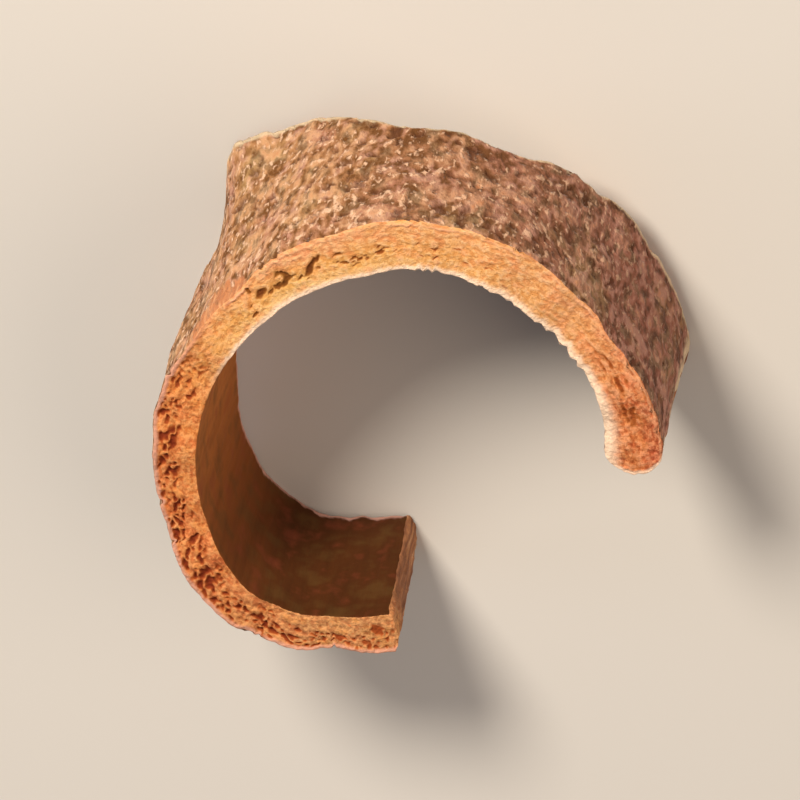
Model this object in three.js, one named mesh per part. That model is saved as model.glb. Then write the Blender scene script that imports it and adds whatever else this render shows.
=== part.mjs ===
// A strip of dried cassia bark: one cut piece that curled up across its width as it dried.
// Units are millimetres, +Z is up. The strip stands on its ragged lower cut, with its clean cut rim on top.
// The origin is on the floor, under the middle of the piece.
import * as THREE from "three";
import { mergeVertices } from "three/addons/utils/BufferGeometryUtils.js";

// --- Driving dimensions -------------------------------------------------------------------------

// The smooth inner face as seen from above: arcs that run on into one another, from the lip to the tail.
const CURL = [
  { turn: 44, radius: 14 }, // the lip, bent in
  { turn: 12, radius: 37 }, // a flatter stretch
  { turn: 59, radius: 15 }, // round the crown
  { turn: 106, radius: 21.5 }, // the long open side
  { turn: 58, radius: 8.5 }, // the tight bend before the tail
  { turn: 8, radius: 53 }, // the tail, nearly straight
];
const LIP = { x: 18.65, y: -2.9, heading: 79.5 }; // where the inner face starts, and its direction there

const WALL_AT_LIP = 4.5; // bark thickness
const WALL_AT_TAIL = 3.7;
const CROWN_SWELL = { at: 29, width: 11, height: 1.15 }; // the cork is thickest over the crown
const LIP_SWELL = { at: 1, width: 6, height: 0.75 }; // the lip is thicker on its inner side
const LIP_ROUNDING = 2.2; // how far the worn lip is rounded back
const TAIL_ROUNDING = 0.5;

const STRIP_LENGTH = 18.8; // from the upper cut to the lower one, along the grain
const HOLLOW = { at: 27, width: 8, height: -3.0 }; // the lower cut runs short under the crown
const TONGUE = { from: 31, full: 40, fade: 47, to: 51, height: 5.2 }; // and leaves a tongue beside it
const TAIL_SHORTENING = { from: 74, to: 86, height: -1.6 };

// How far the wall leans out of (+) or into (-) the curl at STRIP_LENGTH below the rim. A power of 1 is a
// straight lean, and a higher one bends more towards the lower cut.
const FLARES = [
  { at: 6, width: 10, height: 0.9, power: 1.5 },
  { at: 45.5, width: 4, height: 1.2, power: 3 }, // the tongue turns out
  { at: 51, width: 3.5, height: -1, power: 1 },
  { at: 62, width: 10, height: -1.7, power: 1.5 },
];

// Slow waves in the cuts and in the cork, as height, waves along the curl, waves down the strip, phase.
const RIM_WAVES = [
  { height: 0.16, along: 7, phase: 0.4 },
  { height: 0.1, along: 17, phase: 2.1 },
];
const LOWER_CUT_WAVES = [
  { height: 0.3, along: 6, phase: 1.2 },
  { height: 0.18, along: 14, phase: 0.3 },
];
const CORK_WAVES = [
  { height: 0.16, along: 5, down: 1.3, phase: 0.8 },
  { height: 0.11, along: 11, down: 2.2, phase: 2.6 },
];

// The strip stands on its tongue, its lip and the bend before its tail: it leans by LEAN towards
// LEAN_TOWARDS, then turns.
const LEAN = 10.6;
const LEAN_TOWARDS = 111;
const TURN = -45;
const FOOT_DEPTH = 0.55; // how far the feet are worn flat

const STEPS_ALONG = 84;
const STEPS_THROUGH = 4;
const STEPS_DOWN = 11;

// --- The curl -----------------------------------------------------------------------------------

const radians = THREE.MathUtils.degToRad;
const arcLength = (arc) => radians(arc.turn) * arc.radius;
const CURL_LENGTH = CURL.reduce((sum, arc) => sum + arcLength(arc), 0);

// A smooth hump of the given height, centred at a distance along the curl.
function hump(along, { at, width, height }) {
  return height * Math.exp(-(((along - at) / width) ** 2));
}

function waves(list, along, down = 0) {
  const turn = (2 * Math.PI) / CURL_LENGTH;
  const height = (w) => w.height * Math.sin(w.along * turn * along + (w.down ?? 0) * down + w.phase);
  return list.reduce((sum, w) => sum + height(w), 0);
}

// The point and direction of the inner face at a distance along the curl from the lip.
function innerFace(along) {
  let heading = radians(LIP.heading);
  const point = new THREE.Vector2(LIP.x, LIP.y);
  let left = along;
  for (const [i, arc] of CURL.entries()) {
    const stretch = i === CURL.length - 1 ? left : Math.min(left, arcLength(arc));
    const next = heading + stretch / arc.radius;
    point.x += arc.radius * (Math.sin(next) - Math.sin(heading));
    point.y += arc.radius * (Math.cos(heading) - Math.cos(next));
    heading = next;
    left -= stretch;
    if (left <= 0) break;
  }
  return { point, heading };
}

function wallAt(along) {
  const taper = THREE.MathUtils.lerp(WALL_AT_LIP, WALL_AT_TAIL, along / CURL_LENGTH);
  return taper + hump(along, CROWN_SWELL);
}

function depthOfLowerCut(along) {
  const rise = THREE.MathUtils.smoothstep(along, TONGUE.from, TONGUE.full);
  const fall = THREE.MathUtils.smoothstep(along, TONGUE.fade, TONGUE.to);
  const tail = THREE.MathUtils.smoothstep(along, TAIL_SHORTENING.from, TAIL_SHORTENING.to);
  const tongue = TONGUE.height * rise * (1 - fall);
  const shortening = TAIL_SHORTENING.height * tail;
  return STRIP_LENGTH + hump(along, HOLLOW) + tongue + shortening + waves(LOWER_CUT_WAVES, along);
}

function flareAt(along, depth) {
  const share = Math.max(0, depth / STRIP_LENGTH);
  return FLARES.reduce((sum, flare) => sum + hump(along, flare) * share ** flare.power, 0);
}

// Both ends of the strip are rounded from face to face: a half circle squashed to the given length.
function roundedBack(length, through) {
  return length * (1 - Math.sqrt(1 - (2 * through - 1) ** 2));
}

// --- The solid ----------------------------------------------------------------------------------

// Moves each point of a flat slab of bark to its place in the curl. The slab's x runs along the curl,
// y from the inner face (0) to the cork (1), and z from the upper cut (0) to the lower one (1).
function curlUp(slab) {
  const position = slab.getAttribute("position");
  for (let i = 0; i < position.count; i += 1) {
    const through = position.getY(i);
    const start = roundedBack(LIP_ROUNDING, through);
    const end = CURL_LENGTH - roundedBack(TAIL_ROUNDING, through);
    const along = THREE.MathUtils.lerp(start, end, position.getX(i));

    const top = waves(RIM_WAVES, along);
    const depth = THREE.MathUtils.lerp(top, depthOfLowerCut(along), position.getZ(i));
    const cork = through * waves(CORK_WAVES, along, position.getZ(i));
    const inner = (through - 1) * hump(along, LIP_SWELL);
    const outward = inner + through * wallAt(along) + cork + flareAt(along, depth);

    const { point, heading } = innerFace(along);
    position.setXYZ(
      i,
      point.x + outward * Math.sin(heading),
      point.y - outward * Math.cos(heading),
      -depth,
    );
  }
}

// Sets the strip down as it stands, and wears its feet flat on the floor.
function standUp(geometry) {
  geometry.rotateZ(radians(-LEAN_TOWARDS));
  geometry.rotateY(radians(-LEAN));
  geometry.rotateZ(radians(TURN));
  geometry.computeBoundingBox();
  const middle = geometry.boundingBox.getCenter(new THREE.Vector3());
  geometry.translate(-middle.x, -middle.y, -geometry.boundingBox.min.z - FOOT_DEPTH);
  const position = geometry.getAttribute("position");
  for (let i = 0; i < position.count; i += 1) {
    position.setZ(i, Math.max(0, position.getZ(i)));
  }
}

function barkStrip() {
  const slab = new THREE.BoxGeometry(1, 1, 1, STEPS_ALONG, STEPS_THROUGH, STEPS_DOWN);
  slab.translate(0.5, 0.5, 0.5);
  slab.deleteAttribute("normal");
  slab.deleteAttribute("uv");
  const solid = mergeVertices(slab);
  curlUp(solid);
  standUp(solid);
  solid.computeVertexNormals();
  return solid;
}

const bark = new THREE.MeshStandardMaterial({ color: 0x8a6a4f, roughness: 0.85, metalness: 0 });
const strip = new THREE.Mesh(barkStrip(), bark);
strip.name = "bark_curl";

const group = new THREE.Group();
group.name = "cassia_bark_strip";
group.add(strip);

export default group;
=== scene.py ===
# %% [markdown]
# # A strip of cassia bark, curled as it dried
#
# Cassia is the thick, coarse cousin of cinnamon. A piece is cut across the branch, so its upper end is a
# clean sawn rim, and as it dries the smooth inner side shrinks more than the cork, so the strip rolls up
# across its width into an open ring. This lesson rolls one up from a flat slab, gives every side its own
# relief, and then paints three finishes: cork, cut bark and inner bark.
#
# The imported model gives the place and the size. It is loaded first, and its box is kept.

# %% Load the imported strip
import math

import bmesh
import bpy
from mathutils import Matrix, Vector, noise


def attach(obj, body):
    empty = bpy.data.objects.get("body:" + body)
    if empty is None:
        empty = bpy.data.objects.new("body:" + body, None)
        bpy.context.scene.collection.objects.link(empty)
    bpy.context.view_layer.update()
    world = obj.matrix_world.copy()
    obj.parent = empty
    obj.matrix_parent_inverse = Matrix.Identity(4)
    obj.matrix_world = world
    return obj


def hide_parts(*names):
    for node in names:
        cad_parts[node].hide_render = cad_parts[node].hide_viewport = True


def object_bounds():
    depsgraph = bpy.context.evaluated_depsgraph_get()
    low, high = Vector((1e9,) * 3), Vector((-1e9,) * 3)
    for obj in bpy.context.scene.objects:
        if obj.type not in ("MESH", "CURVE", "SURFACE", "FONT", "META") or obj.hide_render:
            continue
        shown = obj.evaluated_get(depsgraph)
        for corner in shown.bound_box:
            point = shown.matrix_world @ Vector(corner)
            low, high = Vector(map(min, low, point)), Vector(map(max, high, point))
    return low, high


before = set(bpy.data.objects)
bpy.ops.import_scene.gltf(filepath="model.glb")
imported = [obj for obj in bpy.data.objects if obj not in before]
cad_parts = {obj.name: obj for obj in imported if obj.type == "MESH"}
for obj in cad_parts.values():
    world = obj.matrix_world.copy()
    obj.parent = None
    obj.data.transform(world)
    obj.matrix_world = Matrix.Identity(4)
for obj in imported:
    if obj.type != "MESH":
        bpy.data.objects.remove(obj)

NODE = "bark_curl"
MM = 0.001  # the strip is described in millimetres, and Blender works in metres
cad_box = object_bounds()
print("packed strip, mm:", [round(side / MM, 2) for side in cad_box[1] - cad_box[0]])

# %% [markdown]
# ## The line that the strip follows
#
# Seen from above, the smooth inner face is a chain of arcs that run on into one another, from the lip,
# round the crown and the long open side, to a tight bend and a nearly straight tail. Arcs are chosen here
# and not a free curve, because bark dries to an even curvature between its knots. These are the driving
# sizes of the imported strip, written once more because a scene can't read them from it.

# %% The curl and the wall, in millimetres and degrees
CURL = [  # turn, radius
    (44, 14),  # the lip, bent in
    (12, 37),
    (59, 15),  # round the crown
    (106, 21.5),  # the long open side
    (58, 8.5),  # the tight bend
    (8, 53),  # the tail
]
LIP_X, LIP_Y, LIP_HEADING = 18.65, -2.9, 79.5
CURL_LENGTH = sum(math.radians(turn) * radius for turn, radius in CURL)

WALL_AT_LIP, WALL_AT_TAIL = 4.5, 3.7
CROWN_SWELL = (29, 11, 1.15)  # every hump is: middle, width, height
LIP_SWELL = (1, 6, 0.75)
LIP_ROUNDING, TAIL_ROUNDING = 2.2, 0.5
FLARES = [(6, 10, 0.9, 1.5), (45.5, 4, 1.2, 3), (51, 3.5, -1, 1), (62, 10, -1.7, 1.5)]  # hump, power
print("round the inner face, mm:", round(CURL_LENGTH, 1))

# %% The cuts, the slow waves and the stance
STRIP_LENGTH = 18.8
HOLLOW = (27, 8, -3.0)
TONGUE_RISE, TONGUE_FALL, TONGUE_HEIGHT = (31, 40), (47, 51), 5.2
TAIL_SHORTENING_FROM, TAIL_SHORTENING_TO, TAIL_SHORTENING = 74, 86, -1.6

# Each wave is: height, waves along the curl, radians down the strip, phase.
RIM_WAVES = [(0.16, 7, 0, 0.4), (0.1, 17, 0, 2.1)]
LOWER_CUT_WAVES = [(0.3, 6, 0, 1.2), (0.18, 14, 0, 0.3)]
CORK_WAVES = [(0.16, 5, 1.3, 0.8), (0.11, 11, 2.2, 2.6)]

LEAN, LEAN_TOWARDS, TURN = 10.6, 111, -45
FOOT_DEPTH = 0.55
print("longest down the grain, mm:", STRIP_LENGTH + TONGUE_HEIGHT)

# %% [markdown]
# ## From a distance along the curl to a shape
#
# The formulas below turn a distance along the curl into a place, a wall thickness and a depth. A strip
# could also be lofted through sections, but a formula keeps each named size in one spot, and the relief
# further down can ask it how near it is to an edge.


# %% Small helpers
def hump(along, middle, width, height=1.0):
    """As high as height at its middle, and gone about two widths away from it."""
    return height * math.exp(-(((along - middle) / width) ** 2))


def waves(rows, along, down=0.0):
    """All the waves of a list, added up."""
    turn = 2 * math.pi / CURL_LENGTH
    return sum(h * math.sin(a * turn * along + d * down + phase) for h, a, d, phase in rows)


def ease(low, high, value):
    """0 at low, 1 at high and a smooth step between them. Low may also be the larger of the two."""
    share = min(1.0, max(0.0, (value - low) / (high - low)))
    return share * share * (3 - 2 * share)


def lerp(low, high, share):
    return low + (high - low) * share


print("a step from 0 to 2, at its middle:", ease(0, 2, 1))


# %% Where the inner face runs
def inner_face(along):
    """The point and the heading of the inner face at this distance from the lip."""
    x, y, heading, left = LIP_X, LIP_Y, math.radians(LIP_HEADING), along
    for turn, radius in CURL:
        last = (turn, radius) == CURL[-1]
        stretch = left if last else min(left, math.radians(turn) * radius)
        onward = heading + stretch / radius
        x += radius * (math.sin(onward) - math.sin(heading))
        y += radius * (math.cos(heading) - math.cos(onward))
        heading = onward
        left -= stretch
        if left <= 0:
            break
    return x, y, heading


print("the tail ends at, mm:", [round(v, 1) for v in inner_face(CURL_LENGTH)[:2]])


# %% How thick, how long and how far it leans out
def wall_at(along):
    return lerp(WALL_AT_LIP, WALL_AT_TAIL, along / CURL_LENGTH) + hump(along, *CROWN_SWELL)


def lower_cut_at(along):
    tongue = TONGUE_HEIGHT * ease(*TONGUE_RISE, along) * (1 - ease(*TONGUE_FALL, along))
    shortening = TAIL_SHORTENING * ease(TAIL_SHORTENING_FROM, TAIL_SHORTENING_TO, along)
    ragged = waves(LOWER_CUT_WAVES, along)
    return STRIP_LENGTH + hump(along, *HOLLOW) + tongue + shortening + ragged


def flare_at(along, depth):
    share = max(0.0, depth / STRIP_LENGTH)
    return sum(hump(along, *flare) * share**power for *flare, power in FLARES)


def rounded_back(length, through):
    """Both ends of the strip are rounded from face to face: a half circle squashed to this length."""
    return length * (1 - math.sqrt(max(0.0, 1 - (2 * through - 1) ** 2)))


print("wall at the lip, crown and tail, mm:", [round(wall_at(along), 2) for along in (0, 29, CURL_LENGTH)])

# %% [markdown]
# ## A slab, divided finely
#
# The curl could be lofted from sections, but bark is a flat slab that rolled up, and so is this one: a
# cube, cut into a fine grid with `subdivide_edges`, one direction at a time. It keeps one closed surface
# with six sides, so each side can get its own relief before the slab is rolled. The grid has about a
# quarter of a millimetre between its lines, which is fine enough for the grains of the cork, and the
# lines crowd together a little towards the edges, where the small chips are. The rim shows the finest
# detail, so its own edges are cut once more.

# %% Cut the slab
STEPS = (420, 20, 64)  # along the curl, through the wall, down the strip
CROWDING = 0.35  # 0 is an even grid, 1 gathers the lines at the edges

slab = bmesh.new()
bmesh.ops.create_cube(slab, size=1)
bmesh.ops.translate(slab, verts=slab.verts, vec=(0.5, 0.5, 0.5))
for axis, steps in enumerate(STEPS):
    # Only the edges along this axis are still uncut and long.
    uncut = [e for e in slab.edges if abs(e.verts[0].co[axis] - e.verts[1].co[axis]) > 0.5]
    bmesh.ops.subdivide_edges(slab, edges=uncut, cuts=steps - 1, use_grid_fill=True)
rim_edges = [e for e in slab.edges if max(vert.co.z for vert in e.verts) == 0]
bmesh.ops.subdivide_edges(slab, edges=rim_edges, cuts=1, use_grid_fill=True)


def crowded(share):
    return lerp(share, 0.5 - 0.5 * math.cos(math.pi * share), CROWDING)


shares = [tuple(crowded(share) for share in vert.co) for vert in slab.verts]
print("slab:", len(slab.verts), "vertices,", 2 * len(slab.faces), "triangles")

# %% [markdown]
# ## Relief from noise
#
# Real relief, and not only bump, is what makes an outline rough. It could be sculpted, or come from a
# displacement texture, but noise in code gives every side its own grain and can be steered by the distance
# to an edge. A lump of noise has a size in millimetres, may be stretched along the curl, and has a seed,
# which only picks another part of the same noise. A depth that is divided before it goes in stretches the
# noise down the strip.


# %% Two kinds of noise
def rough(along, across, size, seed, stretch=1.0):
    """Smooth noise, about -1 to 1, with lumps of the given size, stretched along the curl."""
    return 1.6 * noise.noise(Vector((along / (size * stretch), across / size, seed)))


def cells(along, across, size, seed, stretch=1.0):
    """Bark cells: 0 on the walls between them and 1 well inside, and a number that is the cell's own."""
    place = Vector((along / (size * stretch), across / size, seed))
    distances, centres = noise.voronoi(place)
    return ease(0.04, 0.3, distances[1] - distances[0]), 0.5 + 0.5 * noise.cell(centres[0] * 7.3)


print("a little noise:", [round(rough(along, 0, 1.0, 3.1), 2) for along in (0.2, 0.7, 1.3)])

# %% [markdown]
# ## Relief of the cork
#
# Cork is a crust of grains a little under a millimetre across, longer down the strip than round it, with
# lumps and small pits between them. Voronoi cells would make it too regular, like a golf ball, so the
# grains are two sizes of stretched noise. On the tongue they run together into ridges down the grain.

# %% Grains and pits of the cork, in millimetres
LUMP, LUMP_DEPTH = 2.6, 0.14
GRAIN, GRAIN_DEPTH = 0.85, 0.16
PIT, PIT_DEPTH = 0.9, 0.24
RIDGE, RIDGED = 0.6, (43, 7, 0.5)  # ridges that the grains run together into, and where
PITTED, SMOOTHER = (30, 10, 0.1), (4, 12, -0.25)
PITTED_BY_CUT, PITTED_WITHIN = (27, 8, 0.3), 4.0


def cork_grains(along, depth):
    """0 in the crevices between the grains of the cork, about 1 on their tops."""
    ridge = rough(along, depth / 4.0, RIDGE, 15.5)
    first = rough(along, depth / 2.0, GRAIN, 3.1)
    second = rough(along, depth / 1.6, GRAIN / 2, 8.7)
    grains = 0.7 * first + 0.4 * second
    ridges = 0.4 * first + 0.6 * ridge
    return 0.5 + 0.5 * lerp(grains, ridges, hump(along, *RIDGED))


def cork_pit(along, depth):
    """1 at the bottom of a small pit in the cork. They crowd near the lower cut under the crown."""
    busy = 0.1 * rough(along, depth, 4.2, 17.0) + hump(along, *PITTED) + hump(along, *SMOOTHER)
    crowd = hump(along, *PITTED_BY_CUT) * ease(PITTED_WITHIN, 1.0, lower_cut_at(along) - depth)
    pit = rough(along, depth / 1.8, PIT, 6.2) + 0.6 * rough(along, depth / 1.5, PIT / 2.2, 9.4)
    return ease(0.6, 0.95, pit + busy + crowd)


print("grains down the strip:", [round(cork_grains(30, depth), 2) for depth in range(5)])

# %% [markdown]
# Beside the rim, at the shoulder where the crown turns into the long side, the crust has rubbed off. Pale
# rows of crust run round the cork, with darker ones between them, and over the crown the crust was torn
# away in stripes along the lower cut. They could be painted only, but as values of their own they can steer
# relief and colour together.

# %% The rubbed patch and the rows of crust
RUBBED_AT, RUBBED_HALF, RUBBED_DEPTH = 47.0, 4.2, 0.15
PALE_ROW, DARK_ROW = (4.2, 0.8), (7.2, 1.0)  # depth below the rim, width
PALE_STRETCH, DARK_STRETCH, TORN_STRETCH = (38, 12), (30, 12), (29, 8)  # middle along the curl, width
TORN_FROM, TORN_FULLY = 4.5, 1.5  # above the lower cut


def rubbed_off(along, depth):
    """1 where the crust of the cork has rubbed off beside the rim."""
    middle = 1 - ((along - RUBBED_AT) / RUBBED_HALF) ** 2 - (depth / RUBBED_HALF) ** 2
    ragged = 0.5 * rough(along, depth / 1.5, 1.3, 44.0) + 0.35 * rough(along, depth / 3, 0.4, 46.0)
    return ease(-0.1, 0.8, middle + ragged)


def crust_rows(along, depth):
    """Above 0 on the pale rows of crust that run round the cork, below 0 on the dark rows between them."""
    row = depth + 0.5 * rough(along, 0, 5.0, 121.0) + 0.3 * rough(along, depth, 1.3, 123.0)
    broken = ease(-0.7, 0.4, rough(along, depth / 3, 2.4, 122.0))
    pale = hump(row, *PALE_ROW) * hump(along, *PALE_STRETCH)
    dark = hump(row, *DARK_ROW) * hump(along, *DARK_STRETCH)
    stripe = ease(0.2, 0.6, 0.5 + 0.5 * rough(along, depth / 6, 0.5, 125.0))
    near_cut = ease(TORN_FROM, TORN_FULLY, lower_cut_at(along) - depth)
    torn = near_cut * hump(along, *TORN_STRETCH) * stripe
    return broken * (pale - dark) - 1.5 * torn


print("rows over the crown:", [round(crust_rows(34, depth), 2) for depth in range(10)])

# %% [markdown]
# ## Holes in the rim
#
# The rim was sawn, so it is nearly flat, but soft cells have crumbled out of it: like a sponge on the
# outer half of the long open side, in a row of short cracks over the crown, and in streaks by the lip.
# The holes could be cut out of the mesh with a boolean, but they are shallow and soft-edged, so they are
# one value from 0 to 1 instead. It sinks the rim here, and later the finish is painted darker there, as
# painted shade, so that colour and depth agree.

# %% Open cells of the long side
# Places are in millimetres along the curl, and in shares of the wall.
RIM_SEED, LOWER_SEED = 23.0, 29.0  # the two cuts crumble in different places
CELL, CELL_DEPTH = 0.85, 0.3
CLUSTER, CLUSTER_SLANT = 0.9, 0.5
SPONGE_FROM, SPONGE_FADES = (47, 58), (80, 87)
SOUND_SHARE, SOUND_SWELL = 0.06, (62, 7, 0.2)  # sound bark next to the inner face
SOUND_UNDER_CORK = (0.86, 0.96)


def sponge(along, from_inner, share, seed):
    """The open cells come in clusters that slant across the wall, more of them towards the cork."""
    there = ease(*SPONGE_FROM, along) * (1 - 0.5 * ease(*SPONGE_FADES, along))
    sound = SOUND_SHARE + hump(along, *SOUND_SWELL)
    there *= ease(sound, sound + 0.26, share + 0.15 * rough(along, 0, 2.0, 36.0))
    there *= 1 - ease(*SOUND_UNDER_CORK, share)
    slant = from_inner - CLUSTER_SLANT * along
    open_cells = rough(along, slant, CELL, seed, 1.3) + 0.6 * rough(along, from_inner, CELL / 2.2, seed + 3)
    cluster = rough(along, slant, CLUSTER, seed + 5, 2.2) - 0.15 + 0.45 * ease(0.3, 0.75, share)
    return there * ease(0.08, 0.7, abs(open_cells)) * ease(-0.35, 0.25, cluster)


print("across the long side:", [round(sponge(66, out, out / 4, RIM_SEED), 2) for out in (1, 2, 3)])

# %% Streaks by the lip and cracks over the crown
LIP_STREAKS, STREAK_BAND = (8, 4.5, 0.7), (0.56, 0.2)
CROWN_CRACKS, CRACK_BAND = (36, 8, 0.52), (0.4, 0.13)
CRACK_AT, CRACK_CLEARS = 38.0, 1.5  # there are no short cracks beside the long one


def lip_streaks(along, from_inner, share, seed):
    """Thin streaks that follow the curl."""
    streak = rough(along, from_inner, 0.42, seed + 6, 5.0)
    streak += 0.35 * rough(along, from_inner, 0.35, seed + 8, 1.5)
    return ease(-0.1, 0.6, streak) * hump(along, *LIP_STREAKS) * hump(share, *STREAK_BAND)


def crown_cracks(along, from_inner, share, seed):
    """Short cracks in a row: a cell that is narrow and long, where its own number lets it open."""
    there = hump(along, *CROWN_CRACKS) * hump(share, *CRACK_BAND)
    there *= 1 - hump(along, CRACK_AT, CRACK_CLEARS)
    short, own = cells(along, from_inner + 0.1 * rough(along, 0, 0.9, seed), 0.34, seed + 9, 2.4)
    return 0.55 * short * ease(-0.05, 0.05, there - own)


def crumbling(along, from_inner, seed):
    """1 at the bottom of a cell that has crumbled out of a cut, 0 on the sound bark round it."""
    here = (along, from_inner, from_inner / wall_at(along), seed)
    return max(sponge(*here), lip_streaks(*here), crown_cracks(*here))


print("along the crown:", [round(crumbling(along, 2.2, RIM_SEED), 2) for along in range(28, 36)])

# %% [markdown]
# Three marks are one of a kind, so each has its own place and size: a crack that runs aslant through the
# rim over the crown, a small knot that has split the shoulder, and two short slits that follow the curl
# beside the lip. All are drawn from the distance to a small oval or a line, with a ragged edge.

# %% The crack and the knot
KNOT_AT, KNOT_OUT, KNOT_SIZE, KNOT_DEPTH = 41.1, 2.5, (0.8, 0.6), 0.75
# The blot and the dash are placed from the knot.
BLOT_ALONG, BLOT_SIZE, BLOT_DEPTH = 1.9, (0.7, 0.5), 0.9
DASH_ALONG, DASH_OUT, DASH_SIZE, DASH_DEPTH = 2.5, 1.1, (0.2, 0.5), 0.6


def oval(along, from_inner, size):
    """How far out from the middle of a small oval: its edge is at 1."""
    return math.hypot(along / size[0], from_inner / size[1])


def slanted_crack(along, from_inner):
    """1 in a longer crack that runs aslant across the middle of the wall."""
    share = from_inner / wall_at(along)
    bend = CRACK_AT - math.tanh(6 * (share - 0.5)) + 0.25 * rough(from_inner, 0, 0.7, 38.0)
    return 0.85 * (1 - ease(0.15, 0.5, abs(along - bend))) * (1 - ease(0.1, 0.2, abs(share - 0.5)))


def knot(along, from_inner):
    """1 in the cracks round a small knot: an open loop, a blot and a dash."""
    ragged = 0.2 * rough(along, from_inner, 0.5, 131.0)
    along, out = along - KNOT_AT, from_inner - KNOT_OUT
    loop = 1 - ease(0.15, 0.5, abs(oval(along, out, KNOT_SIZE) - 1 + ragged))
    loop *= lerp(1.0, 0.1, ease(0.2, 1.0, along / KNOT_SIZE[0] + out))
    blot = 1 - ease(0.4, 1.1, oval(along - BLOT_ALONG, out, BLOT_SIZE) + ragged)
    dash = 1 - ease(0.4, 1.1, oval(along - DASH_ALONG, out - DASH_OUT, DASH_SIZE) + ragged)
    return max(KNOT_DEPTH * loop, BLOT_DEPTH * blot, DASH_DEPTH * dash)


print("across the knot:", [round(knot(KNOT_AT, KNOT_OUT + out / 5), 2) for out in range(-4, 5)])

# %% The slits, and all the holes together
LIP_SLITS, SLIT_SIZE, SLIT_DEPTH = [(5.9, 2.0), (8.5, 2.4)], (1.1, 0.24), 0.7


def lip_slits(along, from_inner):
    """Above 0 in two short slits that follow the curl."""
    ragged = 0.4 * rough(along, from_inner, 0.4, 163.0)
    nearest = min(oval(along - middle, from_inner - out, SLIT_SIZE) for middle, out in LIP_SLITS)
    return SLIT_DEPTH * (1 - ease(0.1, 1.4, nearest + ragged))


def rim_holes(along, from_inner):
    lone = [slanted_crack(along, from_inner), knot(along, from_inner), lip_slits(along, from_inner)]
    return max(crumbling(along, from_inner, RIM_SEED), *lone)


print("across a slit by the lip:", [round(lip_slits(5.9, out / 4), 2) for out in range(5, 12)])

# %% [markdown]
# ## Worn and torn edges
#
# Every edge is worn round a little, with a chip here and there. The inner edge of the rim is toothed where
# the blade ran out, from the lip over to the crown. The two ends of the curl split along the grain, so they
# show fibres that run down the strip. A bevel could round the edges, but evenly, and dry bark chips.

# %% Edge sizes, in millimetres
CORK_RIM_EDGE, CORK_LOWER_EDGE = (0.2, 50.0), (0.35, 61.0)  # each edge is: radius, seed
INNER_RIM_EDGE, INNER_LOWER_EDGE = (0.1, 80.0), (0.1, 84.0)
TOOTH, TOOTH_DEPTH, TOOTH_REACH = 1.6, 0.6, 1.4
TOOTH_PEAK = 0.75  # a tooth rises slowly up to this share of it, and then falls steeply
TEETH_FROM, TEETH_TO = (7, 12), (29, 34)
FIBRE, FINE_FIBRE, FIBRE_DEPTH, FIBRE_REACH = 0.5, 0.3, 0.25, 0.9


def worn(along, distance, radius, seed):
    """How far an edge is rounded back, at this distance from it. It has a chip here and there."""
    chips = max(0.0, rough(along, 0, 1.6, seed) - 0.4)
    radius *= 1 + 0.35 * rough(along, 0, 0.9, seed + 7) + 2.0 * chips
    if distance >= radius:
        return 0.0
    return radius * (1 - math.cos(math.radians(45) * (1 - distance / radius)))


def teeth(along):
    there = ease(*TEETH_FROM, along) * (1 - ease(*TEETH_TO, along))
    count = along / TOOTH + 0.7 * rough(along, 0, 2.6, 41.0)
    saw = count - math.floor(count)
    size = 0.6 + 0.6 * rough(math.floor(count) * 3.7, 0, 1.0, 19.0)
    return there * size * (saw / TOOTH_PEAK if saw < TOOTH_PEAK else (1 - saw) / (1 - TOOTH_PEAK))


def torn_fibres(from_end, from_inner, depth, seed):
    """How far the fibres of an end of the strip stand back."""
    fibres = 0.5 + 0.5 * rough(from_inner, depth / 7, FIBRE, seed)
    fibres += 0.25 * rough(from_inner, depth / 3, FINE_FIBRE, seed + 1)
    return FIBRE_DEPTH * fibres * (1 - ease(0.0, FIBRE_REACH, from_end))


print("teeth:", [round(teeth(15 + step / 4), 2) for step in range(8)])

# %% [markdown]
# ## Pale marks
#
# Some lines of colour are too thin to be shapes of their own, but they have a place: the cream fibres along
# the inner edge of the rim, the pale line under the cork, the hem along the lower cut, which is a painted
# highlight, and the splintered edge of the lip. Each is worked out per vertex as a value from 0 to 1,
# because a shader knows nothing of how far away an edge is.

# %% Lines on the rim
CREAM_WIDTH, CREAM_SWELLS = 0.4, [(3, 12, 0.75), (23, 9, 0.25), (43, 7, 0.2)]
CREAM_FADES = (48, 54)
LINE_IN, LINE_HALF = 0.18, 0.18  # how far in from the cork it lies, and half its width
LINE_SWELL = (32, 12, 0.25)
BAND_FROM = (46, 54)  # beyond it the line under the cork is a wider band


def cream(along, from_inner):
    """1 on the young cream fibres along the inner face, which fade out beyond the crown."""
    width = CREAM_WIDTH + sum(hump(along, *swell) for swell in CREAM_SWELLS)
    width += 0.12 * rough(along, 0, 1.6, 90.0)
    line = 1 - ease(0.25 * width, 1.25 * width, from_inner + 0.12 * rough(along, from_inner, 0.4, 93.0))
    return line * (1 - ease(*CREAM_FADES, along))


def lip_tip(from_lip):
    """The outermost fibres of the lip are pale too."""
    return 0.8 * (1 - ease(0.15, 0.5, from_lip))


def outer_line(along, from_cork):
    """1 on the thin pale line under the cork, which is a wider band on the long open side."""
    off_line = from_cork - LINE_IN - hump(along, *LINE_SWELL) + 0.07 * rough(along, 0, 1.0, 95.0)
    line = (1 - ease(0.04, LINE_HALF, abs(off_line))) * ease(-0.5, 0.7, rough(along, 0, 2.4, 97.0))
    band = 1 - ease(0.2, 0.55, from_cork + 0.12 * rough(along, 0, 1.2, 98.0))
    return max(line, band * ease(*BAND_FROM, along))


print("cream fibres, from the inner face out:", [round(cream(10, out / 4), 2) for out in range(6)])
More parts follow.
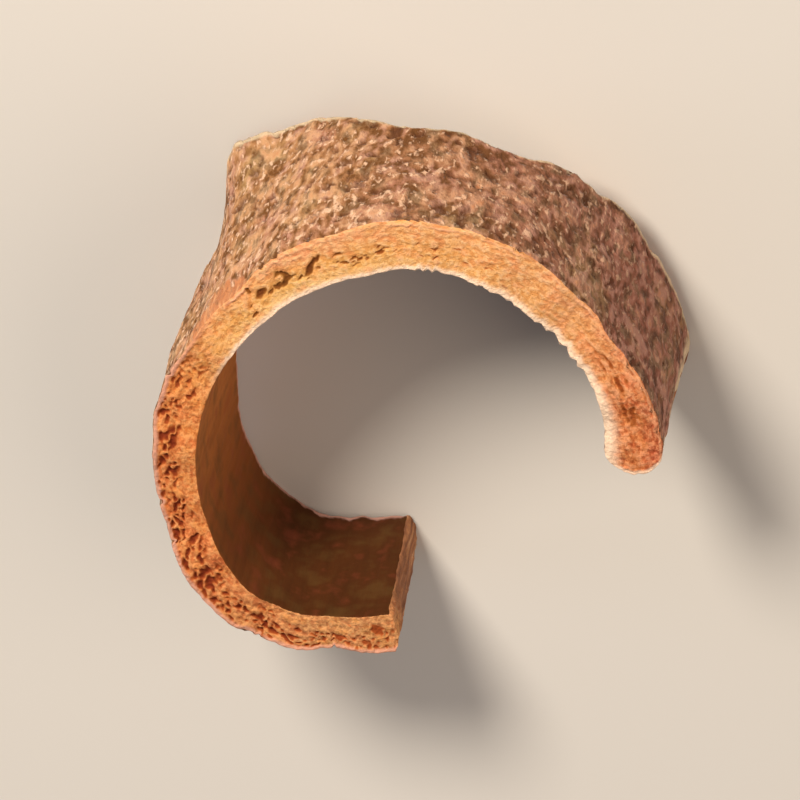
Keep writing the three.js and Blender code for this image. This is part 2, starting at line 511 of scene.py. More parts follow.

# %% The painted highlight along the lower cut, and the lip's edge
HEM_WIDTH, HEM_SWELLS = 0.5, [(42, 6, 0.6), (8, 7, 0.6)]
LIP_EDGE_WIDTH, LIP_EDGE_SWELL, LIP_EDGE_LOW = 0.5, 1.1, (7, 12)


def hem(along, above_cut, through):
    """1 on the painted highlight along the lower cut, which is wide on the cork under the crown."""
    width = HEM_WIDTH - 0.2 * through + through * sum(hump(along, *swell) for swell in HEM_SWELLS)
    width += 0.3 * rough(along, 0, 1.3, 99.0) + 0.15 * rough(along, above_cut, 0.4, 103.0)
    return 1 - ease(0.5 * width, width, above_cut) if width > 0 else 0.0


def lip_edge(from_lip, depth, through):
    """1 on the pale splintered edge of the lip's end, where it meets the cork. It widens downwards."""
    low = ease(*LIP_EDGE_LOW, depth)
    width = LIP_EDGE_WIDTH + LIP_EDGE_SWELL * low + 0.4 * rough(depth, 0, 1.1, 151.0)
    broken = max(ease(-0.6, 0.5, rough(depth, 0, 2.3, 153.0)), low)
    return broken * ease(0.9, 1.0, through) * (1 - ease(0.4 * width, width, from_lip))


print("hem under the crown:", [round(hem(42, above / 4, 1), 2) for above in range(6)])

# %% [markdown]
# ## The flat bark
#
# Each vertex of the slab has three shares between 0 and 1: along the curl, through the wall and down the
# strip. They become millimetres of flat, plain bark first. Then each of the four long sides adds its own
# relief, and a vertex between two of them takes a share of both, so the sides meet without a seam. Faces
# could be pushed along their normals instead, but then the corners would tear apart or cross.

# %% Relief of the cork and of the inner face, in millimetres
GROOVE, GROOVE_DEPTH = 0.8, 0.04


def cork_relief(along, depth, below_rim, above_cut):
    rubbed = rubbed_off(along, depth)
    crust = GRAIN_DEPTH * (cork_grains(along, depth) - 0.5) - PIT_DEPTH * cork_pit(along, depth)
    relief = LUMP_DEPTH * rough(along, depth, LUMP, 1.3) + (1 - 0.7 * rubbed) * crust
    relief -= RUBBED_DEPTH * rubbed + worn(along, below_rim, *CORK_RIM_EDGE)
    return relief - worn(along, above_cut, *CORK_LOWER_EDGE)


def inner_relief(along, depth, below_rim, above_cut):
    relief = GROOVE_DEPTH * rough(along, depth / 9, GROOVE, 71.0)
    relief += TOOTH_DEPTH * teeth(along) * math.exp(-below_rim / TOOTH_REACH)
    relief += worn(along, below_rim, *INNER_RIM_EDGE)
    return relief + worn(along, above_cut, *INNER_LOWER_EDGE)


print("cork relief, mm:", [round(cork_relief(30, depth, depth, 9), 2) for depth in range(1, 6)])

# %% Relief of the two cuts, in millimetres
LAYER, LAYER_DEPTH = 0.5, 0.05
GRIT, GRIT_DEPTH = 0.3, 0.05
TEAR, TEAR_DEPTH = 1.3, 0.2
LINE_HEIGHT = 0.12  # the pale line under the cork stands up a little
CALM_RIM = (33, 15, 0.5)


def rim_relief(along, from_inner, from_cork, holes):
    layers = LAYER_DEPTH * rough(along, from_inner, LAYER, 27.0, 4.0)
    grit = GRIT_DEPTH * rough(along, from_inner, GRIT, 28.0)
    relief = CELL_DEPTH * holes + (1 - hump(along, *CALM_RIM)) * (layers + grit)
    relief -= LINE_HEIGHT * outer_line(along, from_cork)
    relief += worn(along, from_cork, *CORK_RIM_EDGE)
    return relief + worn(along, from_inner, *INNER_RIM_EDGE)


def lower_relief(along, from_inner, from_cork, sound):
    relief = TEAR_DEPTH * rough(along, from_inner, TEAR, 31.0)
    relief -= CELL_DEPTH * sound * crumbling(along, from_inner, LOWER_SEED)
    relief -= worn(along, from_cork, *CORK_LOWER_EDGE)
    return relief - worn(along, from_inner, *INNER_LOWER_EDGE)


print("lower cut relief, mm:", [round(lower_relief(40, out, 5 - out, 1), 2) for out in range(1, 5)])


# %% Plain bark, rolled up
def plain_bark(along_share, through, down):
    """How far along the curl, how far out from the line of the inner face, and how deep below the rim."""
    start = rounded_back(LIP_ROUNDING, through)
    end = CURL_LENGTH - rounded_back(TAIL_ROUNDING, through)
    along = lerp(start, end, along_share)
    outside = wall_at(along) + waves(CORK_WAVES, along, down)
    out = lerp(-hump(along, *LIP_SWELL), outside, through)
    return along, out, lerp(waves(RIM_WAVES, along), lower_cut_at(along), down)


def rolled_up(along, out, depth):
    x, y, heading = inner_face(along)
    out += flare_at(along, depth)
    return Vector((x + out * math.sin(heading), y - out * math.cos(heading), -depth))


for vert, share in zip(slab.verts, shares):
    vert.co = rolled_up(*plain_bark(*share))
print("rolled up, plain:", len(shares), "vertices")

# %% Bark with its relief and marks
SOUND_EDGE = 0.35  # nothing crumbles out right at an edge
NEAR_RIM = (0.2, 1.0)  # how far the pale lines of the rim run down over its edge


def real_bark(along_share, through, down):
    """The same place with its relief, and the marks that the finishes will read there."""
    along, out, depth = plain_bark(along_share, through, down)
    from_lip = along - rounded_back(LIP_ROUNDING, through)
    from_tail = CURL_LENGTH - rounded_back(TAIL_ROUNDING, through) - along
    below_rim, above_cut = depth - waves(RIM_WAVES, along), lower_cut_at(along) - depth
    from_inner, from_cork = through * wall_at(along), (1 - through) * wall_at(along)
    sound = ease(0.0, SOUND_EDGE, min(from_inner, from_cork, from_lip, from_tail))
    holes = sound * rim_holes(along, from_inner)
    near_rim = 1 - ease(*NEAR_RIM, below_rim + 0.4 * rough(from_inner, depth / 3, 0.5, 141.0))
    marks = {
        "crumbled": cork_pit(along, depth) if through == 1 else 0.0 if through == 0 else holes,
        "hem": max(hem(along, above_cut, through), lip_edge(from_lip, depth, through)),
        "rubbed": rubbed_off(along, depth),
        "cream": near_rim * max(cream(along, from_inner), lip_tip(from_lip)),
        "outer_line": near_rim * outer_line(along, from_cork),
        "rows": crust_rows(along, depth),
    }
    inside = inner_relief(along, depth, below_rim, above_cut)
    out += lerp(inside, cork_relief(along, depth, below_rim, above_cut), through)
    rim = rim_relief(along, from_inner, from_cork, holes)
    lower = lower_relief(along, from_inner, from_cork, sound)
    along += torn_fibres(from_lip, from_inner, depth, 111.0)
    along -= torn_fibres(from_tail, from_inner, depth, 117.0)
    return marks | {"along": along, "out": out, "depth": depth + lerp(rim, lower, down)}


crown_top = real_bark(0.33, 1, 0.2)
print("on the crown:", {name: round(value, 2) for name, value in crown_top.items()})

# %% [markdown]
# ## Standing the strip on its feet
#
# The strip stands on its torn end, on three feet, and leans a little. The plain form is leaned and turned
# first, because its lowest point sets the height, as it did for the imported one. The same moves then carry
# the detailed form to the same place.

# %% Lean, turn and set down
stand = (
    Matrix.Rotation(math.radians(TURN), 4, "Z")
    @ Matrix.Rotation(math.radians(-LEAN), 4, "Y")
    @ Matrix.Rotation(math.radians(-LEAN_TOWARDS), 4, "Z")
)
bmesh.ops.transform(slab, matrix=stand, verts=slab.verts)
low = Vector([min(vert.co[axis] for vert in slab.verts) for axis in range(3)])
high = Vector([max(vert.co[axis] for vert in slab.verts) for axis in range(3)])
middle = (low + high) / 2
settle = Matrix.Translation((-middle.x, -middle.y, -low.z - FOOT_DEPTH))
print("plain strip, mm:", [round(side, 2) for side in high - low])

# %% [markdown]
# The detailed form replaces the plain one. The place in the flat bark and the marks are kept on every
# vertex, three to a layer, so that the finishes follow the bark round the curl as they would on a real
# one. Coordinates of the finished object wouldn't do, because they run straight through the curl.

# %% Roll up the real bark and keep its marks
MARKS = {
    "flat_bark": ("along", "out", "depth"),
    "wear_and_highlight": ("crumbled", "hem", "rubbed"),
    "pale": ("cream", "outer_line", "rows"),
}
layers = {name: slab.verts.layers.float_vector.new(name) for name in MARKS}
for vert, share in zip(slab.verts, shares):
    bark = real_bark(*share)
    vert.co = rolled_up(bark["along"], bark["out"], bark["depth"])
    for name, parts in MARKS.items():
        vert[layers[name]] = Vector([bark[part] for part in parts])
bmesh.ops.transform(slab, matrix=Matrix.Scale(MM, 4) @ settle @ stand, verts=slab.verts)
for vert in slab.verts:
    vert.co.z = max(0.0, vert.co.z)
print("feet on the floor:", sum(vert.co.z == 0 for vert in slab.verts), "vertices")

# %% [markdown]
# ## One finish for each side
#
# The sides are told apart before the mesh is made. A face whose vertices all lie at 1 through the wall is
# cork, one whose vertices all lie at 0 is inner bark, and the rest is cut bark. A finish could also be
# mixed by a mark, but a material slot for each side keeps the three short.

# %% Mark the sides and make the mesh
CORK, CUT, INNER = range(3)
for face in slab.faces:
    through = [shares[vert.index][1] for vert in face.verts]
    face.material_index = CORK if min(through) == 1 else INNER if max(through) == 0 else CUT
    face.smooth = True
strip_mesh = bpy.data.meshes.new("cassia_strip")
slab.to_mesh(strip_mesh)
slab.free()
strip = bpy.data.objects.new("cassia_strip", strip_mesh)
bpy.context.scene.collection.objects.link(strip)
print("strip:", len(strip_mesh.polygons), "faces")

# %% [markdown]
# ## Tools for the finishes
#
# Colours are written as the hex values that a picture shows, and turned to the linear light that the
# shader works in. A pattern's scale is written as the size of what it draws, in millimetres: the flat bark
# is in millimetres too, so the scale is one over that size. One function adds a node and gives back its
# socket, so that a finish reads like a list of steps.


# %% Colours, sizes and nodes
def linear(hex_colour):
    channels = [int(hex_colour[i : i + 2], 16) / 255 for i in (1, 3, 5)]
    return (*(c / 12.92 if c <= 0.04045 else ((c + 0.055) / 1.055) ** 2.4 for c in channels), 1)


def per_mm(*sizes):
    return tuple(1 / size for size in sizes)


def add(tree, kind, inputs, stops=(), **settings):
    """Adds a node and returns the socket it gives. An input is a value or the socket of another node."""
    node = tree.nodes.new("ShaderNode" + kind)
    for name, value in settings.items():
        setattr(node, name, value)
    for name, value in inputs.items():
        if isinstance(value, bpy.types.NodeSocket):
            tree.links.new(value, node.inputs[name])
        else:
            node.inputs[name].default_value = value
    for i, (position, colour) in enumerate(stops):
        ramp = node.color_ramp.elements
        stop = ramp[i] if i < len(ramp) else ramp.new(position)
        stop.position = position
        stop.color = linear(colour) if isinstance(colour, str) else (colour,) * 3 + (1,)
    return next(socket for socket in node.outputs if socket.enabled)


COVER, UNDER, OVER = 0, 6, 7  # the sockets of a mix of two colours
print("mid grey is", round(linear("#808080")[0], 3), "in linear light")


# %% A bark material and the marks it reads
def bark_material(name, roughness, specular):
    """A new material, its tree and shader, and sockets with the place in the flat bark and its marks."""
    material = bpy.data.materials.new(name)
    material.use_nodes = True
    tree = material.node_tree
    shader = tree.nodes["Principled BSDF"]
    shader.inputs["Metallic"].default_value = 0.0
    shader.inputs["IOR"].default_value = 1.5  # dry plant fibre
    shader.inputs["Roughness"].default_value = roughness
    shader.inputs["Specular IOR Level"].default_value = specular
    marks = {}
    for layer, parts in MARKS.items():
        marks[layer] = add(tree, "Attribute", {}, attribute_name=layer).node.outputs["Vector"]
        marks.update(zip(parts, add(tree, "SeparateXYZ", {"Vector": marks[layer]}).node.outputs))
    marks["round_curl"] = add(tree, "MapRange", {"Value": marks["along"], "From Max": CURL_LENGTH})
    return material, tree, shader, marks


print("marks on every vertex:", [part for parts in MARKS.values() for part in parts])

# %% [markdown]
# ## Dry cork
#
# The outer bark is cork: dead and dry, grown in a crust and never dressed. It is quite matt, and a trace of
# sheen is all that its loose fibres give. The eye sees dark crevices, tan grain tops and pale flecks of
# crust, in olive, grey, pink and mauve patches, and the whole goes from tan on the open side to purplish
# brown by the lip. A picture of bark could be wrapped round it, but noise in millimetres of flat bark
# follows the curl without a seam and can be steered by the marks.
#
# Most patterns are drawn about twice as long down the strip as round it, because the cells of bark are, and
# only the ripples run round it. Real crumbs and specks are a tenth to a third of a millimetre wide. They
# are drawn as coarse as half a millimetre, so that they still show when the whole strip is in view.

# %% Cork: patterns
PATCH, BLOTCH, CRUMB, SPECK = 3.57, 1.25, 0.625, 0.417  # mm wide
cork, tree, shader, marks = bark_material("dry_cork", roughness=0.9, specular=0.15)
shader.inputs["Sheen Weight"].default_value = 0.2
shader.inputs["Sheen Roughness"].default_value = 0.18
shader.inputs["Sheen Tint"].default_value = linear("#e4d4cc")
flat, round_curl = marks["flat_bark"], marks["round_curl"]
grained = add(tree, "Mapping", {"Vector": flat, "Scale": per_mm(1, 1, 2.22)})
rippled = add(tree, "Mapping", {"Vector": flat, "Scale": per_mm(4.55, 2, 2.22)})
fibrous = add(tree, "Mapping", {"Vector": flat, "Scale": per_mm(0.455, 1, 4)})
patches = add(tree, "TexNoise", {"Vector": grained, "Scale": 1 / PATCH, "Detail": 3, "Roughness": 0.6})
blotches = add(tree, "TexNoise", {"Vector": grained, "Scale": 1 / BLOTCH, "Detail": 2})
crumbs = add(tree, "TexNoise", {"Vector": grained, "Scale": 1 / CRUMB, "Detail": 3})
specks = add(tree, "TexNoise", {"Vector": grained, "Scale": 1 / SPECK, "Detail": 2})
ripples = add(tree, "TexNoise", {"Vector": rippled, "Scale": 1, "Detail": 3})
fibres = add(tree, "TexNoise", {"Vector": fibrous, "Scale": 1, "Detail": 2})
print("dry cork:", len(tree.nodes), "nodes so far")

# %% [markdown]
# The crumbs say how high the crust stands. Wide ripples and the rows of crust are added to them, so that
# the same crumbs sink in one row and stand out in the next. The height feeds the bump, and the colours
# too: what sinks is painted dark, as painted shade, and what stands out is painted pale, as a painted
# highlight.

# %% Cork: how high the crust stands
CRUST_HEIGHT = 0.5 * MM
level = add(tree, "Math", {0: ripples, 1: 0.5}, operation="SUBTRACT")
crust = add(tree, "Math", {0: marks["rows"], 1: 0.09, 2: crumbs}, operation="MULTIPLY_ADD")
crust = add(tree, "Math", {0: level, 1: 0.5, 2: crust}, operation="MULTIPLY_ADD")
specks = add(tree, "Math", {0: marks["rows"], 1: 0.06, 2: specks}, operation="MULTIPLY_ADD")
flecks = add(tree, "ValToRGB", {"Fac": specks}, stops=[(0.56, 0.0), (0.67, 1.0)])
height = add(tree, "Math", {0: flecks, 1: 0.15, 2: crust}, operation="MULTIPLY_ADD")
bump = add(tree, "Bump", {"Height": height, "Strength": 1.0, "Distance": CRUST_HEIGHT})
tree.links.new(bump, shader.inputs["Normal"])
print("crust stands up, mm:", CRUST_HEIGHT / MM)

# %% Cork: colours that change round the curl
skin_stops = [
    (0.0, "#83513f"),  # purplish by the lip
    (0.1, "#875443"),
    (0.2, "#885945"),
    (0.33, "#946545"),
    (0.43, "#a1724a"),
    (0.52, "#a8784e"),  # tan on the open side
    (0.8, "#9a6f48"),
]
skin = add(tree, "ValToRGB", {"Fac": round_curl}, stops=skin_stops)
# The crevice colour is painted shade, and the colour of the crust tops is a painted highlight.
crevice_shade = add(tree, "ValToRGB", {"Fac": round_curl}, stops=[(0.1, "#5a3a2b"), (0.4, "#6b421c")])
top_highlight = add(tree, "ValToRGB", {"Fac": round_curl}, stops=[(0.15, "#a87b6a"), (0.4, "#d3a67c")])
speckled = add(tree, "ValToRGB", {"Fac": round_curl}, stops=[(0.1, 0.3), (0.35, 0.75)])
scraped_stops = [(0.35, "#ac6f49"), (0.5, "#bb7b50"), (0.65, "#cb9468")]
scraped = add(tree, "ValToRGB", {"Fac": fibres}, stops=scraped_stops)
print("dry cork: skin in", len(skin_stops), "colours")

# %% [markdown]
# The colours are laid over one another like washes, from the widest patches to the finest marks. Each wash
# has a cover, which says where it lies and how thick.

# %% Cork: where each wash lies
olive = add(tree, "ValToRGB", {"Fac": patches}, stops=[(0.32, 0.4), (0.46, 0.0)])
pink = add(tree, "ValToRGB", {"Fac": patches}, stops=[(0.54, 0.0), (0.68, 0.4)])
grey = add(tree, "ValToRGB", {"Fac": blotches}, stops=[(0.36, 0.6), (0.47, 0.0)])
mauve = add(tree, "ValToRGB", {"Fac": blotches}, stops=[(0.53, 0.0), (0.64, 0.6)])
# Painted shade where the crust sinks, and a painted highlight where it stands out.
crevices = add(tree, "ValToRGB", {"Fac": crust}, stops=[(0.33, 0.95), (0.42, 0.5), (0.5, 0.0)])
tops = add(tree, "ValToRGB", {"Fac": crust}, stops=[(0.51, 0.0), (0.66, 0.6)])
flecked = add(tree, "Math", {0: flecks, 1: speckled}, operation="MULTIPLY")
# The pits are painted dark at their bottoms, as painted shade.
pits = add(tree, "Math", {0: marks["crumbled"], 1: 0.7}, operation="MULTIPLY")
islands = add(tree, "Math", {0: crust, 1: 1.6, 2: marks["rubbed"]}, operation="MULTIPLY_ADD")
bare = add(tree, "MapRange", {"Value": islands, "From Min": 1.0, "From Max": 1.45})
# The hem is a painted highlight along the lower cut; by the lip it also holds the pale splintered edge.
hems = add(tree, "Math", {0: marks["hem"], 1: 0.75}, operation="MULTIPLY")
print("dry cork:", len(tree.nodes), "nodes so far")

# %% Cork: the washes in their order
cork_washes = [
    (olive, linear("#94804f")),
    (pink, linear("#b47c6c")),
    (grey, linear("#7d6a50")),
    (mauve, linear("#b08373")),
    (crevices, crevice_shade),
    (tops, top_highlight),
    (flecked, linear("#e6bd9c")),
    (pits, linear("#55301d")),
    (bare, scraped),
    (hems, linear("#d6c2a0")),
]
for cover, colour in cork_washes:
    skin = add(tree, "Mix", {COVER: cover, UNDER: skin, OVER: colour}, data_type="RGBA")
tree.links.new(skin, shader.inputs["Base Color"])
strip_mesh.materials.append(cork)
print("dry cork:", len(cork_washes), "washes")

# %% [markdown]
# ## Sawn bark
#
# A cut shows the bark in section, as the saw and the tear left it: matt, with a little gloss where the
# fibres lie closed. The body is warm orange, yellower over the crown and at the shoulder, and redder
# by the lip. The eye reads it as bark by its layers, which run long round the curl and thin through the
# wall, and by its grit. It could be one plain colour over a bump, but then it would look like clay. Real
# grit is about 0.2 mm wide, and is drawn as coarse as half a millimetre so that it shows.

# %% Cut bark: patterns
SAWN_GRIT, HUE = 0.526, 1.25  # mm wide
GRIT_HEIGHT = 0.5 * MM
cut, tree, shader, marks = bark_material("sawn_bark", roughness=0.8, specular=0.25)
flat, round_curl = marks["flat_bark"], marks["round_curl"]
layered = add(tree, "Mapping", {"Vector": flat, "Scale": per_mm(3.33, 0.455, 1.67)})
fibrous = add(tree, "Mapping", {"Vector": flat, "Scale": per_mm(1, 0.5, 4)})
streaks = add(tree, "TexNoise", {"Vector": layered, "Scale": 1, "Detail": 4, "Roughness": 0.6})
grit = add(tree, "TexNoise", {"Vector": flat, "Scale": 1 / SAWN_GRIT, "Detail": 5, "Roughness": 0.62})
hues = add(tree, "TexNoise", {"Vector": flat, "Scale": 1 / HUE, "Detail": 2})
fibres = add(tree, "TexNoise", {"Vector": fibrous, "Scale": 1, "Detail": 4})
bump = add(tree, "Bump", {"Height": grit, "Strength": 0.7, "Distance": GRIT_HEIGHT})
tree.links.new(bump, shader.inputs["Normal"])
five_out = add(tree, "MapRange", {"Value": marks["out"], "From Max": 5.0})
ten_deep = add(tree, "MapRange", {"Value": marks["depth"], "From Max": 10.0})
print("sawn bark:", len(tree.nodes), "nodes so far")

# %% Cut bark: the body round the curl
body_stops = [
    (0.0, "#c67448"),  # red-brown at the lip
    (0.07, "#d2845a"),
    (0.16, "#d79b66"),
    (0.35, "#dfa562"),  # yellow over the crown
    (0.5, "#dfa562"),
    (0.6, "#d48a4c"),  # orange on the open side
    (0.8, "#cf834c"),
    (0.92, "#c28c5a"),
]
body = add(tree, "ValToRGB", {"Fac": round_curl}, stops=body_stops)
section_stops = [(0.06, "#f3d3a0"), (0.25, "#e4b873"), (0.45, "#dca55c"), (0.75, "#e3a478")]
section = add(tree, "ValToRGB", {"Fac": five_out}, stops=section_stops)
shoulder_stops = [(0.3, 0.2), (0.45, 0.8), (0.55, 0.4), (0.62, 0.0)]
shoulder = add(tree, "ValToRGB", {"Fac": round_curl}, stops=shoulder_stops)
by_lip = add(tree, "ValToRGB", {"Fac": round_curl}, stops=[(0.02, 0.9), (0.07, 0.0)])
outer_half = add(tree, "ValToRGB", {"Fac": five_out}, stops=[(0.55, 0.0), (0.82, 1.0)])
reddened = add(tree, "Math", {0: by_lip, 1: outer_half}, operation="MULTIPLY")
print("sawn bark: body in", len(body_stops), "colours")

# %% Cut bark: layers, grit and hues
force_stops = [(0.08, 1.0), (0.17, 0.4), (0.42, 0.4), (0.58, 0.7)]
force = add(tree, "ValToRGB", {"Fac": round_curl}, stops=force_stops)
layer_shade = add(tree, "ValToRGB", {"Fac": streaks}, stops=[(0.32, 0.74), (0.5, 1.0), (0.68, 1.2)])
# Low grit is darker: partly the grit's own mottling, partly painted shade in its hollows.
grit_stops = [(0.34, "#c79a7a"), (0.45, "#f0ddcf"), (0.52, 1.0)]
grit_shade = add(tree, "ValToRGB", {"Fac": grit}, stops=grit_stops)
hue_shade = add(tree, "ValToRGB", {"Fac": hues}, stops=[(0.38, "#f6dca0"), (0.5, 1.0), (0.62, "#ffd0c0")])
# The tops of the grit are painted pale, as a painted highlight.
tops = add(tree, "ValToRGB", {"Fac": grit}, stops=[(0.49, 0.0), (0.64, 0.75)])
highlight_stops = [(0.05, "#efa478"), (0.25, "#f9cf9c"), (0.5, "#f6c48e"), (0.6, "#f2b070")]
pale = add(tree, "ValToRGB", {"Fac": round_curl}, stops=highlight_stops)
under_cork = add(tree, "ValToRGB", {"Fac": round_curl}, stops=[(0.45, "#eeb083"), (0.6, "#d0967c")])
print("sawn bark:", len(tree.nodes), "nodes so far")

# %% [markdown]
# A hole is red-brown, more olive at the shoulder, where the bark round the knot has darkened, and it is
# painted darker towards its bottom, as painted shade. The grit makes its edge ragged. Both ends of the curl
# are old tears and not fresh cuts; below the rim they are painted brown, in streaks down the grain, as
# painted shade.

# %% Cut bark: holes and ends, with painted shade
# A hole is painted darker towards its bottom, as painted shade, over the red-brown of the crumbled bark.
shaded_hole_stops = [(0.2, "#b55f2a"), (0.5, "#974517"), (0.95, "#7c2c0a")]
olive_shaded_hole_stops = [(0.2, "#ad7f3e"), (0.5, "#7d5218"), (0.95, "#5c3408")]
shaded_hole = add(tree, "ValToRGB", {"Fac": marks["crumbled"]}, stops=shaded_hole_stops)
olive_shaded_hole = add(tree, "ValToRGB", {"Fac": marks["crumbled"]}, stops=olive_shaded_hole_stops)
shaded_hole = add(tree, "Mix", {COVER: shoulder, UNDER: shaded_hole, OVER: olive_shaded_hole}, data_type="RGBA")
ragged = add(tree, "Math", {0: grit, 1: 1.1, 2: marks["crumbled"]}, operation="MULTIPLY_ADD")
sunk = add(tree, "MapRange", {"Value": ragged, "From Min": 0.62, "From Max": 0.95})
# Both ends are painted brown below the rim, more so further down, as painted shade.
end_stops = [(0.026, 1.0), (0.036, 0.0), (0.975, 0.0), (0.985, 1.0)]
ends = add(tree, "ValToRGB", {"Fac": round_curl}, stops=end_stops)
below = add(tree, "ValToRGB", {"Fac": ten_deep}, stops=[(0.06, 0.0), (0.5, 0.92)])
shaded_ends = add(tree, "Math", {0: ends, 1: below}, operation="MULTIPLY")
end_shade_stops = [(0.33, "#6b3f29"), (0.5, "#8c5a3c"), (0.6, "#a8714a"), (0.7, "#c79a72")]
torn = add(tree, "ValToRGB", {"Fac": fibres}, stops=end_shade_stops)
print("sawn bark:", len(tree.nodes), "nodes so far")

# %% Cut bark: the washes in their order
cut_washes = [
    ("MIX", shoulder, section),
    ("MIX", reddened, linear("#953a18")),
    ("MULTIPLY", force, layer_shade),
    ("MULTIPLY", force, grit_shade),
    ("MIX", tops, pale),
    ("MULTIPLY", 0.4, hue_shade),
    ("MIX", marks["outer_line"], under_cork),
    ("MIX", sunk, shaded_hole),
    ("MIX", marks["cream"], linear("#f5d6b8")),
    ("MIX", shaded_ends, torn),
]
for blend, cover, colour in cut_washes:
    sockets = {COVER: cover, UNDER: body, OVER: colour}
    body = add(tree, "Mix", sockets, data_type="RGBA", blend_type=blend)
tree.links.new(body, shader.inputs["Base Color"])
strip_mesh.materials.append(cut)
print("sawn bark:", len(cut_washes), "washes")

# %% [markdown]
# ## Smooth inner bark
#
# The inner face is the side that peeled off the wood: dense and closed, so smoother than the rest, with a
# slight waxy look from its oil. The eye sees red-brown with fine grooves down the grain, a few olive and
# red patches about three millimetres wide, and a pale hem at the lower cut, which is a painted highlight.
# The face is painted brighter halfway down the open side, as painted light, and darker beyond the bend,
# as painted shade. The grooves could all be in the mesh, but most are too shallow to change an outline,
# so they are bump and colour.

# %% Inner bark: patterns and colours
FACE_PATCH = 2.86  # mm wide
GROOVE_HEIGHT = 0.15 * MM
inner, tree, shader, marks = bark_material("smooth_inner_bark", roughness=0.65, specular=0.08)
down_grain = add(tree, "Mapping", {"Vector": marks["flat_bark"], "Scale": per_mm(1.43, 1, 8.33)})
grooves = add(tree, "TexNoise", {"Vector": down_grain, "Scale": 1, "Detail": 4, "Roughness": 0.6})
patches = add(tree, "TexNoise", {"Vector": marks["flat_bark"], "Scale": 1 / FACE_PATCH, "Detail": 4})
bump = add(tree, "Bump", {"Height": grooves, "Strength": 0.4, "Distance": GROOVE_HEIGHT})
tree.links.new(bump, shader.inputs["Normal"])
inner_stops = [
    (0.35, "#87502f"),
    (0.5, "#95603c"),
    (0.56, "#ac7044"),
    # painted light: this part of the face lies in shade and is painted brighter
    (0.62, "#b87136"),  # brightest halfway down the open side
    (0.7, "#a6632e"),
    (0.78, "#844a20"),
    # painted shade beyond the bend
    (0.88, "#4c2910"),  # dark beyond the bend
]
face_colour = add(tree, "ValToRGB", {"Fac": marks["round_curl"]}, stops=inner_stops)
olive = add(tree, "ValToRGB", {"Fac": patches}, stops=[(0.36, 0.45), (0.5, 0.0)])
red = add(tree, "ValToRGB", {"Fac": patches}, stops=[(0.54, 0.0), (0.68, 0.4)])
groove_shade = add(tree, "ValToRGB", {"Fac": grooves}, stops=[(0.3, 0.82), (0.5, 1.0), (0.7, 1.12)])
# The hem is a painted highlight along the lower cut.
hems = add(tree, "Math", {0: marks["hem"], 1: 0.8}, operation="MULTIPLY")
print("smooth inner bark: face in", len(inner_stops), "colours")

# %% Inner bark: the washes in their order
inner_washes = [
    ("MIX", olive, linear("#5c4220")),
    ("MIX", red, linear("#87402b")),
    ("MULTIPLY", 1.0, groove_shade),
    ("MIX", hems, linear("#dba898")),
]
for blend, cover, colour in inner_washes:
    sockets = {COVER: cover, UNDER: face_colour, OVER: colour}
    face_colour = add(tree, "Mix", sockets, data_type="RGBA", blend_type=blend)
tree.links.new(face_colour, shader.inputs["Base Color"])
strip_mesh.materials.append(inner)
print("smooth inner bark:", len(inner_washes), "washes")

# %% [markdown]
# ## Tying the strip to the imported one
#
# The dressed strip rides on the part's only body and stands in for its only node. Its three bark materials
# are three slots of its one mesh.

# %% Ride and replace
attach(strip, "root")
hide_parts(NODE)
print("dressed strip stands in for", NODE)

# %% [markdown]
# ## Floor
#
# The strip stands on a sheet of pale matt paper, as on a table for studying it. Paper scatters light
# evenly, so it needs no pattern: it only has to carry a soft shadow. It is one square face, far wider than
# the strip.

# %% Floor
FLOOR_HALF = 1.5  # m
floor_face = bmesh.new()
bmesh.ops.create_grid(floor_face, x_segments=1, y_segments=1, size=FLOOR_HALF)
floor_mesh = bpy.data.meshes.new("floor")
floor_face.to_mesh(floor_mesh)
floor_face.free()
floor = bpy.data.objects.new("floor", floor_mesh)
bpy.context.scene.collection.objects.link(floor)
paper = bpy.data.materials.new("pale_paper")
paper.use_nodes = True
paper_shader = paper.node_tree.nodes["Principled BSDF"]
paper_shader.inputs["Base Color"].default_value = linear("#c4c0b9")
paper_shader.inputs["Roughness"].default_value = 0.9
floor_mesh.materials.append(paper)
print("floor, m:", 2 * FLOOR_HALF, "wide")

# %% [markdown]
# ## Camera
#
# The strip is looked at from well above, and turned in the picture. A short lens from nearby would widen
# the near side of the ring, so the camera stands two metres away with a very long lens, and the curl keeps
# its true proportions.

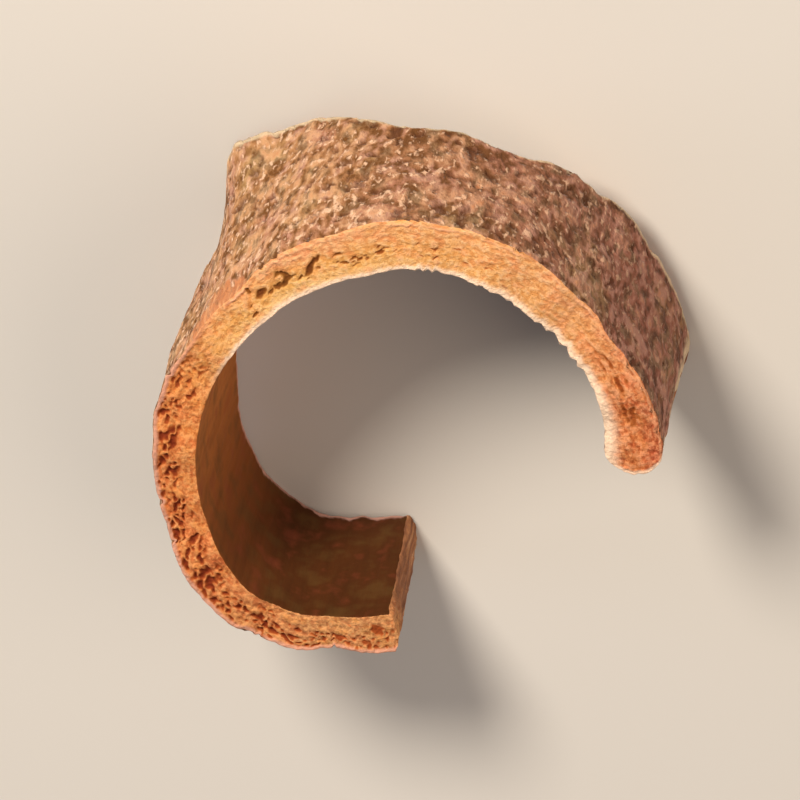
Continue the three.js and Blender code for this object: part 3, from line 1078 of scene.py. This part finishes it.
# %% Camera
CAMERA_ELEVATION, CAMERA_ROLL = 66.4, -154.9  # degrees
CAMERA_DISTANCE, LENS = 2.0, 1000  # m, mm
centre = (cad_box[0] + cad_box[1]) / 2
camera_data = bpy.data.cameras.new("camera")
camera_data.lens = LENS
camera_data.clip_start = 0.05
camera = bpy.data.objects.new("camera", camera_data)
bpy.context.scene.collection.objects.link(camera)
up = math.radians(CAMERA_ELEVATION)
towards = Vector((0, -math.cos(up), math.sin(up)))
look = (-towards).to_track_quat("-Z", "Y").to_matrix().to_4x4()
roll = Matrix.Rotation(math.radians(CAMERA_ROLL), 4, "Z")
camera.matrix_world = Matrix.Translation(centre + towards * CAMERA_DISTANCE) @ look @ roll
bpy.context.scene.camera = camera
print("camera looks down by", CAMERA_ELEVATION, "degrees")

# %% [markdown]
# ## Light
#
# Three soft disks: a warm key that rakes over the rim and the cork, a wide fill from the other side, and a
# faint cool edge. One overhead light would show the outline as well, but only raking light shows the grains
# and the holes, and wide disks keep its shadows soft.

# %% Light
LIGHT_DISTANCE = 0.7  # m


def soft_light(name, azimuth, elevation, size, power, colour):
    data = bpy.data.lights.new(name, "AREA")
    data.shape = "DISK"
    data.size = size
    data.energy = power
    data.color = linear(colour)[:3]
    lamp = bpy.data.objects.new(name, data)
    bpy.context.scene.collection.objects.link(lamp)
    a, e = math.radians(azimuth), math.radians(elevation)
    towards = Vector((math.sin(a) * math.cos(e), -math.cos(a) * math.cos(e), math.sin(e)))
    lamp.location = centre + towards * LIGHT_DISTANCE
    lamp.rotation_mode = "QUATERNION"
    lamp.rotation_quaternion = (-towards).to_track_quat("-Z", "Y")
    print(name, "light:", power, "W,", size, "m across")


soft_light("key", azimuth=53, elevation=44, size=0.25, power=6.4, colour="#fff4e6")
soft_light("fill", azimuth=-66, elevation=40, size=0.6, power=2.4, colour="#ffe6cf")
soft_light("edge", azimuth=112, elevation=14, size=0.3, power=0.8, colour="#dfe2ff")

# %% Daylight from all round
world = bpy.data.worlds.new("studio")
world.use_nodes = True
daylight = world.node_tree.nodes["Background"]
daylight.inputs["Color"].default_value = linear("#e8e8ea")
daylight.inputs["Strength"].default_value = 0.3
bpy.context.scene.world = world
bpy.context.scene.view_settings.view_transform = "Standard"
print("daylight:", round(daylight.inputs["Strength"].default_value, 2))
